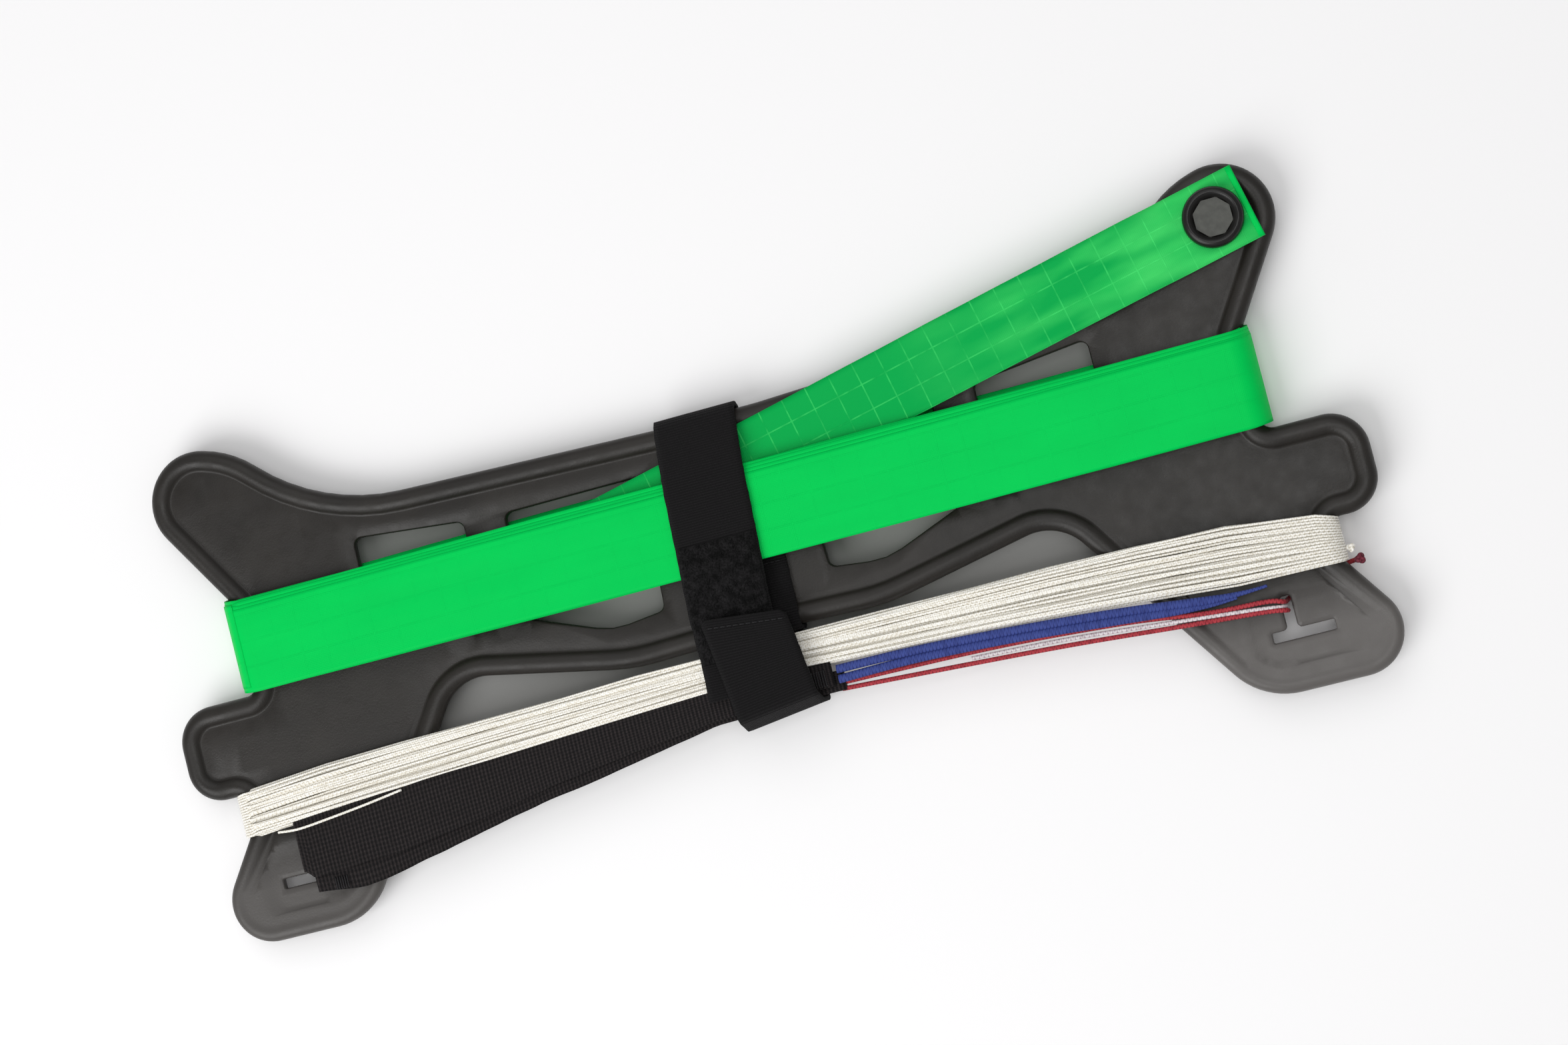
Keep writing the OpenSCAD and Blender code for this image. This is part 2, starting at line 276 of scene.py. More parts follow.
def rounded(corners, arc_step=math.radians(6)):
    """Outline points and outward normals of a clockwise list of corners (x, y, radius)."""
    pts, normals = [], []
    n = len(corners)
    for i in range(n):
        before, p, after = (Vector(corners[j][:2]) for j in ((i - 1) % n, i, (i + 1) % n))
        r = corners[i][2]
        middle, start, turn = corner_arc(before, p, after, r)
        steps = max(1, math.ceil(abs(turn) / arc_step))
        sign = 1 if turn < 0 else -1
        for k in range(steps + 1):
            a = start + turn * k / steps
            d = Vector((math.cos(a), math.sin(a)))
            pts.append(middle + d * r)
            normals.append(d * sign)
    return pts, normals


# ---------------------------------------------------------------- materials
class Shader:
    """A material's node tree, with short names for what the recipes below use."""

    def __init__(self, name, roughness, colour=None, **constants):
        self.mat = bpy.data.materials.new(name)
        self.mat.use_nodes = True
        self.tree = self.mat.node_tree
        self.main = self.tree.nodes["Principled BSDF"]
        self.main.inputs["Roughness"].default_value = roughness
        if colour is not None:
            self.main.inputs["Base Color"].default_value = colour
        for key, value in constants.items():
            self.main.inputs[key.replace("_", " ")].default_value = value
        self.heights = []

    def node(self, kind, **settings):
        made = self.tree.nodes.new(kind)
        for key, value in settings.items():
            setattr(made, key, value)
        return made

    def put(self, value, socket):
        """Links an output to a socket, or sets the socket to a number."""
        if isinstance(value, (int, float)):
            socket.default_value = value
        else:
            self.tree.links.new(value, socket)

    def math(self, operation, a, b=0.0, c=0.0):
        made = self.node("ShaderNodeMath", operation=operation)
        for value, socket in zip((a, b, c), made.inputs):
            self.put(value, socket)
        return made.outputs[0]

    def place(self):
        return self.node("ShaderNodeTexCoord").outputs["Object"]

    def uv(self):
        """u and v of the piece's own map, in metres along it and across it."""
        split = self.node("ShaderNodeSeparateXYZ")
        self.put(self.node("ShaderNodeTexCoord").outputs["UV"], split.inputs[0])
        return split.outputs["X"], split.outputs["Y"]

    def noise(self, scale, detail=2.0, vector=None, roughness=0.5):
        made = self.node("ShaderNodeTexNoise")
        made.inputs["Scale"].default_value = scale
        made.inputs["Detail"].default_value = detail
        made.inputs["Roughness"].default_value = roughness
        self.put(self.place() if vector is None else vector, made.inputs["Vector"])
        return made.outputs["Fac"]

    def stretched(self, along, across):
        """The piece's map with a different scale each way, for noise that runs along it."""
        u, v = self.uv()
        joined = self.node("ShaderNodeCombineXYZ")
        self.put(self.math("MULTIPLY", u, along), joined.inputs[0])
        self.put(self.math("MULTIPLY", v, across), joined.inputs[1])
        return joined.outputs[0]

    def ridge(self, value, pitch):
        """0 to 1 and back over each pitch of value."""
        turned = self.math("MULTIPLY", value, 2 * math.pi / pitch)
        return self.math("MULTIPLY_ADD", self.math("SINE", turned), 0.5, 0.5)

    def thin_line(self, value, pitch, width):
        """1 on a line of that width once each pitch, 0 elsewhere."""
        offset = self.math("PINGPONG", value, pitch / 2)
        return self.math("LESS_THAN", offset, width / 2)

    def spread(self, value, low, high, to_low=0.0, to_high=1.0):
        made = self.node("ShaderNodeMapRange")
        self.put(value, made.inputs["Value"])
        for key, number in (("From Min", low), ("From Max", high), ("To Min", to_low), ("To Max", to_high)):
            made.inputs[key].default_value = number
        return made.outputs["Result"]

    def mix(self, factor, a, b):
        """Colour a where factor is 0 and b where it is 1. Either is a colour or an output."""
        made = self.node("ShaderNodeMix", data_type="RGBA")
        self.put(factor, made.inputs["Factor"])
        ends = [s for s in made.inputs if s.type == "RGBA"]
        for value, socket in zip((a, b), ends):
            if isinstance(value, tuple):
                socket.default_value = value
            else:
                self.tree.links.new(value, socket)
        return next(s for s in made.outputs if s.type == "RGBA")

    def colour(self, output):
        self.tree.links.new(output, self.main.inputs["Base Color"])

    def bump(self, height, depth):
        """Adds a relief. depth is in metres, from height 0 to 1."""
        self.heights.append((height, depth))

    def finish(self):
        normal = None
        for height, depth in self.heights:
            made = self.node("ShaderNodeBump")
            made.inputs["Strength"].default_value = 1.0
            made.inputs["Distance"].default_value = depth
            self.tree.links.new(height, made.inputs["Height"])
            if normal is not None:
                self.tree.links.new(normal, made.inputs["Normal"])
            normal = made.outputs["Normal"]
        if normal is not None:
            self.tree.links.new(normal, self.main.inputs["Normal"])
        return self.mat


def shade(colour, factor):
    """The colour, made darker or lighter by factor."""
    return (*(min(1.0, c * factor) for c in colour[:3]), 1.0)


def moulded_plastic():
    s = Shader("moulded_plastic", 0.4, Specular_IOR_Level=0.35)
    base = srgb(34, 31, 28)
    cloud = s.noise(90, 3)
    fine = s.noise(2600, 2)
    split = s.node("ShaderNodeSeparateXYZ")
    s.put(s.place(), split.inputs[0])
    # Painted sheen: the feet, most of all the right foot, are painted a lighter grey to stand for the light
    # their gloss reflects.
    towards_feet = s.spread(split.outputs["Y"], -0.040, -0.029, 1.0, 0.0)
    towards_right = s.spread(split.outputs["X"], -0.12, 0.12, 0.62, 1.0)
    painted_sheen_mask = s.math("MULTIPLY", towards_feet, towards_right)
    mottled_base = s.mix(s.spread(cloud, 0.35, 0.7), shade(base, 0.8), shade(base, 1.2))
    s.colour(s.mix(painted_sheen_mask, mottled_base, srgb(93, 90, 88)))
    s.put(s.spread(s.noise(320, 4), 0.3, 0.7, 0.36, 0.5), s.main.inputs["Roughness"])
    s.bump(fine, 0.00003)
    s.bump(s.noise(500, 3), 0.00002)
    return s.finish()


def ripstop(name, light, dark, line_factor, alpha=1.0, painted_shade_colour=None):
    """Coated ripstop ribbon: a fine weave with a raised square grid of thicker threads.
    The optional darker colour is painted shade, for where a single layer lies close over the dark plate."""
    s = Shader(name, 0.42, Alpha=alpha, Specular_IOR_Level=0.05)
    u, v = s.uv()
    tone = s.noise(1.0, 3, s.stretched(60, 160))
    weave = s.math("MULTIPLY", s.ridge(u, 0.00034), s.ridge(v, 0.00034))
    grid = s.math("MAXIMUM", s.thin_line(u, 0.0052, 0.00028), s.thin_line(v, 0.0052, 0.00028))
    broken = s.math("MULTIPLY", grid, s.spread(s.noise(1.0, 2, s.stretched(300, 300)), 0.35, 0.6))
    body = s.mix(s.spread(tone, 0.3, 0.7), dark, light)
    if painted_shade_colour is not None:
        # Painted shade: before the hinge the strip takes the darker colour, and past it noise patches of that
        # colour stand for shade where the thin ribbon dips towards the dark plate.
        fold_shade_noise = s.spread(s.noise(1.0, 2, s.stretched(38, 150)), 0.4, 0.62)
        body = s.mix(s.math("MULTIPLY", s.spread(u, 0.085, 0.125), fold_shade_noise), painted_shade_colour, body)
    s.colour(s.mix(s.math("MULTIPLY", broken, line_factor), body, shade(light, 1.6)))
    s.bump(weave, 0.00002)
    s.bump(grid, 0.00004)
    s.bump(s.noise(1.0, 2, s.stretched(25, 120)), 0.0003)
    return s.finish()


def braid(name, light, dark, pitch=0.0009):
    """A fine braided line: short diagonal strands, with painted shade darkening the gaps between them."""
    s = Shader(name, 0.6, Specular_IOR_Level=0.2, Sheen_Weight=0.05)
    u, v = s.uv()
    lean = s.math("MULTIPLY_ADD", v, pitch, u)
    counter = s.math("MULTIPLY_ADD", v, -pitch, u)
    cross = s.math("MAXIMUM", s.ridge(lean, pitch), s.ridge(counter, pitch))
    flecks = s.noise(1.0, 2, s.stretched(900, 3))
    s.colour(s.mix(s.spread(s.math("MULTIPLY", cross, flecks), 0.12, 0.5), dark, light))
    s.bump(cross, 0.00006)
    return s.finish()


def webbing(name, light, dark, rib, roughness=0.75):
    """Woven webbing with ribs across it; painted shade darkens the hollows between ribs and yarns."""
    s = Shader(name, roughness, Specular_IOR_Level=0.1, Sheen_Weight=0.03)
    u, v = s.uv()
    ribs = s.ridge(u, rib)
    yarns = s.ridge(v, rib * 0.45)
    weave = s.math("MULTIPLY_ADD", yarns, 0.45, ribs)
    fuzz = s.noise(3200, 2)
    s.colour(s.mix(s.spread(s.math("MULTIPLY", weave, fuzz), 0.1, 0.9), dark, light))
    s.bump(weave, 0.00011)
    s.bump(fuzz, 0.00005)
    return s.finish()


def pile(name, light, dark, scale, depth):
    """A napped or hooked surface."""
    s = Shader(name, 0.95, Specular_IOR_Level=0.1, Sheen_Weight=0.03)
    grain = s.noise(scale, 3, roughness=0.7)
    clumps = s.noise(scale / 4, 2)
    s.colour(s.mix(s.spread(s.math("MULTIPLY", grain, clumps), 0.15, 0.4), dark, light))
    s.bump(grain, depth)
    s.bump(clumps, depth * 1.5)
    return s.finish()


def gloss_plastic():
    s = Shader("snap_plastic", 0.3, srgb(22, 21, 21), Specular_IOR_Level=0.3)
    s.bump(s.noise(1400, 2), 0.00001)
    s.colour(s.mix(s.spread(s.noise(240, 2), 0.3, 0.7), srgb(20, 19, 19), srgb(30, 29, 28)))
    return s.finish()


def lit_recess_floor_plastic():
    """The matt floor of the snap's recess, painted a lighter grey than the rest of the snap: painted
    reflection of the light on its flat top.
    """
    s = Shader("snap_floor_plastic", 0.55)
    s.colour(s.mix(s.spread(s.noise(700, 3), 0.3, 0.7), srgb(60, 61, 57), srgb(76, 77, 72)))
    s.bump(s.noise(1800, 2), 0.00002)
    return s.finish()


GREEN = srgb(0, 205, 86)
M = {
    "plastic": moulded_plastic(),
    "ribbon": ripstop("tail_ribbon", GREEN, srgb(0, 200, 84), 0.05),
    # The single layer's colours are lighter than the wound ribbon's green as painted glare; its darker colour
    # is painted shade.
    "single": ripstop("tail_single_layer", srgb(70, 218, 108), srgb(40, 200, 92), 0.3, alpha=0.96,
                      painted_shade_colour=srgb(8, 172, 78)),
    "line": braid("line_braid", srgb(255, 253, 247), srgb(216, 209, 192)),
    "webbing": webbing("webbing", srgb(52, 47, 47), srgb(18, 17, 18), 0.0008),
    "closure": webbing("closure_webbing", srgb(33, 32, 33), srgb(19, 18, 19), 0.0005, 0.85),
    "loop": pile("loop_pile", srgb(34, 33, 34), srgb(10, 10, 10), 2400, 0.0002),
    "hook": pile("hook_plastic", srgb(30, 30, 32), srgb(10, 10, 11), 1800, 0.0002),
    "blue": braid("blue_sleeve", srgb(58, 73, 142), srgb(34, 45, 106), 0.0007),
    "red": braid("red_sleeve", srgb(176, 58, 66), srgb(116, 26, 38), 0.0007),
    # Painted shade: the knot is tied in the red sleeve's own cord, given a darker copy of its colour for the
    # shade in the tight knot.
    "red_knot": braid("red_knot", srgb(112, 42, 56), srgb(70, 20, 34), 0.0007),
    "grey": braid("leader_core", srgb(226, 220, 222), srgb(168, 150, 158), 0.0009),
    "thread": braid("thread", srgb(40, 39, 41), srgb(22, 21, 23), 0.0005),
    "snap": gloss_plastic(),
    "snap_floor": lit_recess_floor_plastic(),
}


# ---------------------------------------------------------------- plate
PLATE_HALF = [
    (81.5, 26.7, 43), (97.8, 43, 22), (130.2, 51.7, 10.5), (104.4, 11.2, 4), (104.4, -6.5, 2.5),
    (123.2, -6.5, 7.5), (123.2, -25.9, 7), (112, -25.9, 2.5), (112, -32.5, 2), (128.3, -56.4, 8.5),
    (91.9, -56.4, 14), (62.5, -13.4, 10), (26.2, -20.8, 40),
]
WINDOW_INNER = [(16, 15.9, 1.6), (44.5, 15.9, 1.6), (44.5, -6, 1.2), (28.5, -12.2, 14), (17.2, -10.9, 1.6)]
WINDOW_OUTER = [(53.3, 16.5, 1.6), (76.6, 19, 1.6), (76.6, -2, 1.6), (53.3, -2, 1.6)]
T_SLOT = [
    (96.5, -44.4, 0.3), (99.6, -44.4, 0.9), (99.6, -38, 0.6), (101.6, -38, 0.6), (101.6, -44.4, 0.9),
    (108.5, -44.4, 0.3), (108.5, -46.4, 0.3), (96.5, -46.4, 0.3),
]
FOOT_TOP = -34.0  # the bead fades into a low edge on the feet, below this line
FOOT_FADE = 4.0
FEET_FROM_X = 70
DISH_MIDDLE = (102.4, -45.2)
DISH_REACH = (10.0, 7.4)
DISH_DEPTH = 0.5


CARD_INSET = 3.0
CARD_BOTTOM = -28.0
BAY = (100.0, -8.0)  # half width of the bay between the feet, and the height of its top


def mirrored(corners):
    return [(-x, y, r) for x, y, r in reversed(corners)]


def plate_corners():
    return [(0, 23.7, 300), *PLATE_HALF, (0, -20, 200), *mirrored(PLATE_HALF)]


def bead_section(on_foot):
    """The rim's profile from the outer edge inwards: distance in and height, front half.
    on_foot goes from 0, the full round bead, to 1, the feet's low flat edge."""
    bead = [(0, 0), (0.08, 0.62), (0.32, 1.14), (0.78, 1.62), (1.4, 1.95), (2.1, RIM_Z), (2.8, 1.97),
            (3.4, 1.68), (3.85, 1.26), (4.15, 0.88), (4.5, 0.82), (5.1, WEB_Z)]
    foot = [(0, 0), (0.1, 0.62), (0.36, 1.1), (0.8, 1.45), (1.3, 1.62), (1.8, 1.66), (2.2, 1.6),
            (2.6, 1.5), (3.0, 1.44), (3.5, 1.42), (4.2, 1.42), (5.1, 1.42)]
    return [(a[0] + (b[0] - a[0]) * on_foot, a[1] + (b[1] - a[1]) * on_foot) for a, b in zip(bead, foot)]


def ease(t):
    t = max(0.0, min(1.0, t))
    return t * t * (3 - 2 * t)


def on_foot(x, y):
    """0 on the plate and 1 on a foot, with a soft step between."""
    if abs(x) < FEET_FROM_X:
        return 0.0
    return ease((FOOT_TOP - y) / FOOT_FADE)


def face_height(x, y):
    """Height of the plate's flat surface above its mid-plane: the feet are thicker, with a dish."""
    f = on_foot(x, y)
    dx = (abs(x) - DISH_MIDDLE[0]) / DISH_REACH[0]
    dy = (y - DISH_MIDDLE[1]) / DISH_REACH[1]
    q = (dx ** 4 + dy ** 4) ** 0.25
    dish = DISH_DEPTH * (1 - ease((q - 0.78) / 0.34))
    return WEB_Z + (0.42 - dish) * f


def inside(x, y, loop):
    """Whether each point lies in the loop. x and y are arrays."""
    hit = np.zeros(len(x), bool)
    n = len(loop)
    for i in range(n):
        (ax, ay), (bx, by) = loop[i], loop[(i + 1) % n]
        crosses = (ay > y) != (by > y)
        with np.errstate(divide="ignore", invalid="ignore"):
            hit ^= crosses & (x < (bx - ax) * (y - ay) / (by - ay) + ax)
    return hit


def grid_points(outer, holes):
    """Points inside the web: wide apart on the plate, close together on the feet."""
    pts = []
    for step, low_y, high_y, low_x in ((6.0, -30, 44, 0), (1.1, -56, -30, 80)):
        for i in range(int(124 / step)):
            for j in range(int((high_y - low_y) / step)):
                x, y = i * step + step / 2, low_y + (j + 0.5) * step
                if x >= low_x:
                    pts += [(x, y), (-x, y)]
    p = np.array(pts)
    keep = inside(p[:, 0], p[:, 1], outer)
    for hole in holes:
        keep &= ~inside(p[:, 0], p[:, 1], hole)
    for loop in [outer, *holes]:
        edge = np.array(loop)
        for k in range(len(p)):
            if keep[k]:
                keep[k] = np.min(np.hypot(*(edge - p[k]).T)) > 0.5
    return [tuple(q) for q in p[keep]]


def make_plate():
    edge, normals = rounded(plate_corners())
    feet = [on_foot(p.x, p.y) for p in edge]
    sections = [bead_section(f) for f in feet]
    rows = len(sections[0])
    n = len(edge)
    verts, faces = [], []

    def ring(row, side):
        first = len(verts)
        for p, out, section in zip(edge, normals, sections):
            q = p - out * section[row][0]
            verts.append(at(q.x, q.y, side * section[row][1]))
        return list(range(first, first + n))

    def bridge(a, b, flip):
        for k in range(len(a)):
            quad = (a[k], a[(k + 1) % len(a)], b[(k + 1) % len(b)], b[k])
            faces.append(quad if flip else quad[::-1])

    middle = ring(0, 1)
    last = {}
    for side in (1, -1):
        before = middle
        for row in range(1, rows):
            now = ring(row, side)
            bridge(before, now, side > 0)
            before = now
        last[side] = before
    inner = [tuple(edge[k] - normals[k] * sections[k][-1][0]) for k in range(n)]

    hole_shapes = []
    for corners in (WINDOW_INNER, WINDOW_OUTER, T_SLOT):
        hole_shapes += [corners, mirrored(corners)]
    chamfer = 0.28
    holes, walls = [], []
    for corners in hole_shapes:
        pts, outs = rounded(corners, math.radians(15))
        holes.append([tuple(p + o * chamfer) for p, o in zip(pts, outs)])
        walls.append(pts)

    flat_loops = [inner, *holes]
    spots = [p for loop in flat_loops for p in loop]
    edges, start = [], 0
    for loop in flat_loops:
        edges += [(start + k, start + (k + 1) % len(loop)) for k in range(len(loop))]
        start += len(loop)
    spots += grid_points(inner, holes)
    done = geometry.delaunay_2d_cdt([Vector(p) for p in spots], edges, [], 0, 1e-6, True)
    out_points, triangles, origin = done[0], done[2], done[3]
    spans = [[out_points[i] for i in t] for t in triangles]
    centres = np.array([[sum(p.x for p in t) / 3, sum(p.y for p in t) / 3] for t in spans])
    keep = inside(centres[:, 0], centres[:, 1], inner)
    for hole in holes:
        keep &= ~inside(centres[:, 0], centres[:, 1], hole)
    where = {}
    for side in (1, -1):
        index = {}
        for k, p in enumerate(out_points):
            source = origin[k][0] if origin[k] else -1
            if 0 <= source < n:
                index[k] = last[side][source]
            else:
                index[k] = len(verts)
                verts.append(at(p.x, p.y, side * face_height(p.x, p.y)))
            if source >= 0:
                where[side, source] = index[k]
        for t, good in zip(triangles, keep):
            if good:
                tri = tuple(index[i] for i in t)
                faces.append(tri if side > 0 else tri[::-1])

    start = n
    for hole, wall in zip(holes, walls):
        count = len(hole)
        rings = [[where[1, start + k] for k in range(count)]]
        for side in (1, -1):
            first = len(verts)
            for p in wall:
                verts.append(at(p.x, p.y, side * (face_height(p.x, p.y) - chamfer)))
            rings.append(list(range(first, first + count)))
        rings.append([where[-1, start + k] for k in range(count)])
        for a, b in zip(rings, rings[1:]):
            bridge(a, b, False)
        start += count

    plate = outward(new_piece("plate_moulding", verts, faces, M["plastic"]))
    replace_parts(plate, "winder_plate")
    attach(plate, "winder")


def make_shade_card():
    """A grey card on the floor under the plate, down to the lines, as painted shadow of the plate; the floor
    is white round it.
    """
    points, normals = rounded(plate_corners())
    inner = [Vector(p) - Vector(n) * CARD_INSET for p, n in zip(points, normals)]
    kept = [p for p in inner if p.y > CARD_BOTTOM and not (abs(p.x) < BAY[0] and p.y < BAY[1])]
    mesh = bpy.data.meshes.new("shade_card")
    spots = [(p.x * MM, p.y * MM + DATUM_Y, CARD_Z) for p in kept]
    mesh.from_pydata(spots, [], [tuple(range(len(kept)))])
    card = bpy.data.objects.new("shade_card", mesh)
    bpy.context.collection.objects.link(card)
    mesh.materials.append(plain_material("shade_card", srgb(150, 150, 148), 0.7))


make_plate()
make_shade_card()


# ---------------------------------------------------------------- wound tail
TAIL_END_X = 102.3
TAIL_Y = 3.4
RIBBON_W = 17.2
RIBBON_T = 0.075
TURNS = 30
TURN_STEP = 0.079
BACK_RAISE = 1.4  # the back runs lie this much further up the plate


def wander(x, seed, size):
    """A smooth random offset along x, in millimetres, the same at each run."""
    return size * noise.noise(Vector((x * 0.018, seed * 7.31, 0.37)))


def loop_stations(run_steps, arc_steps):
    """One turn as (kind, x share or angle): front run to the right, right end, back run, left end."""
    return (
        [("front", -1 + 2 * i / run_steps) for i in range(run_steps)]
        + [("right", 90 - 180 * i / arc_steps) for i in range(arc_steps)]
        + [("back", 1 - 2 * i / run_steps) for i in range(run_steps)]
        + [("left", 270 - 180 * i / arc_steps) for i in range(arc_steps)]
    )


def station_point(kind, value, end_x, r):
    """x and z on a racetrack of end radius r."""
    if kind == "front":
        return value * end_x, r
    if kind == "back":
        return value * end_x, -r
    a = math.radians(value)
    side = 1 if kind == "right" else -1
    return side * end_x + r * math.cos(a), r * math.sin(a)


def ribbon_shift(turn):
    """Sideways offset of a turn's middle: the outer turns step towards the feet, so that edges show."""
    outer = {29: -0.9, 28: -0.3, 27: 0.3, 26: 0.85, 25: 0.5, 24: -0.6, 23: 0.75}
    if turn in outer:
        return outer[turn]
    return 0.85 * math.sin(turn * 2.4)


def solid_strip(rows, thickness):
    """Vertices and faces of a thin strip. rows is a list of cross-sections, each a list of points,
    and thickness is laid on along the strip's own normals."""
    count, width = len(rows), len(rows[0])
    grid = np.array([[tuple(p) for p in row] for row in rows])
    along = np.gradient(grid, axis=0)
    across = np.gradient(grid, axis=1)
    normal = np.cross(along, across)
    normal /= np.maximum(np.linalg.norm(normal, axis=2, keepdims=True), 1e-12)
    top = grid + normal * thickness / 2
    bottom = grid - normal * thickness / 2
    verts = [tuple(v) for v in top.reshape(-1, 3)] + [tuple(v) for v in bottom.reshape(-1, 3)]
    base = count * width
    faces = []
    for i in range(count - 1):
        for j in range(width - 1):
            a = i * width + j
            quad = (a, a + width, a + width + 1, a + 1)
            faces.append(quad)
            faces.append(tuple(base + q for q in reversed(quad)))
        for j, flip in ((0, True), (width - 1, False)):
            a = i * width + j
            quad = (a, a + width, base + a + width, base + a)
            faces.append(quad if not flip else quad[::-1])
    for i, flip in ((0, False), (count - 1, True)):
        for j in range(width - 1):
            a = i * width + j
            quad = (a, a + 1, base + a + 1, base + a)
            faces.append(quad if not flip else quad[::-1])
    return verts, faces


def strip_uvs(rows):
    """Length along the strip and across it, in metres, twice: for both faces."""
    grid = np.array([[tuple(p) for p in row] for row in rows])
    middle = grid[:, grid.shape[1] // 2]
    run = np.concatenate([[0], np.cumsum(np.linalg.norm(np.diff(middle, axis=0), axis=1))])
    side = np.concatenate([[0], np.cumsum(np.linalg.norm(np.diff(grid[0], axis=0), axis=1))])
    one = [(float(u), float(v)) for u in run for v in side]
    return one + one, float(run[-1])


def make_tail_winding():
    stations = loop_stations(15, 9)
    rows = []
    across = [-0.5, -0.46, -0.25, 0, 0.25, 0.46, 0.5]
    for turn in range(TURNS):
        for k, (kind, value) in enumerate(stations):
            share = k / len(stations)
            r = BUNDLE_Z + 0.05 + TURN_STEP * (turn + share)
            now, after = ribbon_shift(turn), ribbon_shift(turn + 1)
            mid = TAIL_Y + now + (after - now) * ease(share * 3 - 2)
            x, z = station_point(kind, value, TAIL_END_X, r)
            mid += wander(x, turn, 0.35) + BACK_RAISE * (1 - z / r) / 2
            bow = 0.05 * wander(x * 3, turn + 40, 1.0) if kind in ("front", "back") else 0.0
            row = []
            for a in across:
                droop = -0.05 * (abs(a) * 2) ** 4
                lift = (bow + droop) * (1 if z > 0 else -1) if kind in ("front", "back") else 0.0
                row.append(at(x, mid + a * RIBBON_W, z + lift))
            rows.append(row)
    verts, faces = solid_strip(rows, RIBBON_T * MM)
    uvs, length = strip_uvs(rows)
    piece = new_piece("tail_ribbon_wound", verts, faces, M["ribbon"], uvs=uvs)
    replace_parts(piece, "tail_wound")
    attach(piece, "winder")


make_tail_winding()


# ---------------------------------------------------------------- free end of the tail
HINGE = (44.8, 21.5)
FREE_ANGLE = math.radians(12.3)
FREE_W = 15.0
LEAD_L = 90.0
FLAP_L = 69.6
FLAP_Z = 2.6
SNAP_L = 62.4
SINGLE_T = 0.09
RECESS_R = 3.85  # half width of the eight-sided floor inside the snap


def free_point(s, w, z):
    """A point of the free end: s along it from its hinge line, w across it, z above the mid-plane."""
    c, n = math.cos(FREE_ANGLE), math.sin(FREE_ANGLE)
    return at(HINGE[0] + s * c - w * n, HINGE[1] + s * n + w * c, z)


def free_height(s, w):
    """The ribbon rises from under the winding to the horn, with a light lengthwise curl."""
    rise = BUNDLE_Z - 0.08 + (FLAP_Z + 0.1 - BUNDLE_Z + 0.08) * ease((s + 12) / 24)
    x = HINGE[0] + s * math.cos(FREE_ANGLE)
    free = ease((s + 32) / 22) * (1 - ease((s - 46) / 8))
    curl = 0.75 * free * (2 * abs(w) / FREE_W) ** 2
    ripple = 0.3 * free * noise.noise(Vector((x * 0.09, w * 0.12, 3.1)))
    return rise + curl + ripple


def make_free_end():
    rows = []
    steps = 120
    total = LEAD_L + FLAP_L
    for i in range(steps + 1):
        s = -LEAD_L + total * i / steps
        rows.append([free_point(s, w * FREE_W / 2, free_height(s, w * FREE_W / 2))
                     for w in np.linspace(-1, 1, 13)])
    verts, faces = solid_strip(rows, SINGLE_T * MM)
    uvs, length = strip_uvs(rows)
    piece = new_piece("tail_free_end", verts, faces, M["single"], uvs=uvs)
    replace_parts(piece, "tail_lead_in", "tail_end_flap")
    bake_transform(piece)


def make_free_hem():
    """The cut edge, folded over and heat-sealed, at the free end's tip."""
    rows = []
    for i in range(5):
        s = FLAP_L - 1.2 + 1.1 * i / 4
        rows.append([free_point(s, w * (FREE_W / 2 - 0.15), FLAP_Z + 0.19) for w in np.linspace(-1, 1, 9)])
    verts, faces = solid_strip(rows, 0.07 * MM)
    uvs, _ = strip_uvs(rows)
    piece = new_piece("tail_free_hem", verts, faces, M["ribbon"], uvs=uvs)
    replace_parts(piece, "tail_end_hem")
    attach(piece, "tail_end")


make_free_hem()
make_free_end()


# ---------------------------------------------------------------- snap
def lathe(name, profile, centre, material, sides=72):
    """A closed solid turned about the vertical through centre. profile is (radius, height), in mm."""
    verts, faces = [], []
    rings = []
    for r, z in profile:
        if r < 1e-6:
            rings.append([len(verts)] * sides)
            verts.append(centre + Vector((0, 0, z * MM)))
        else:
            first = len(verts)
            for k in range(sides):
                a = 2 * math.pi * k / sides
                verts.append(centre + Vector((r * math.cos(a), r * math.sin(a), z)) * MM)
            rings.append(list(range(first, first + sides)))
    for a, b in zip(rings, rings[1:]):
        for k in range(sides):
            quad = []
            for v in (a[k], a[(k + 1) % sides], b[(k + 1) % sides], b[k]):
                if v not in quad:
                    quad.append(v)
            if len(quad) > 2:
                faces.append(quad)
    return outward(new_piece(name, verts, faces, material))


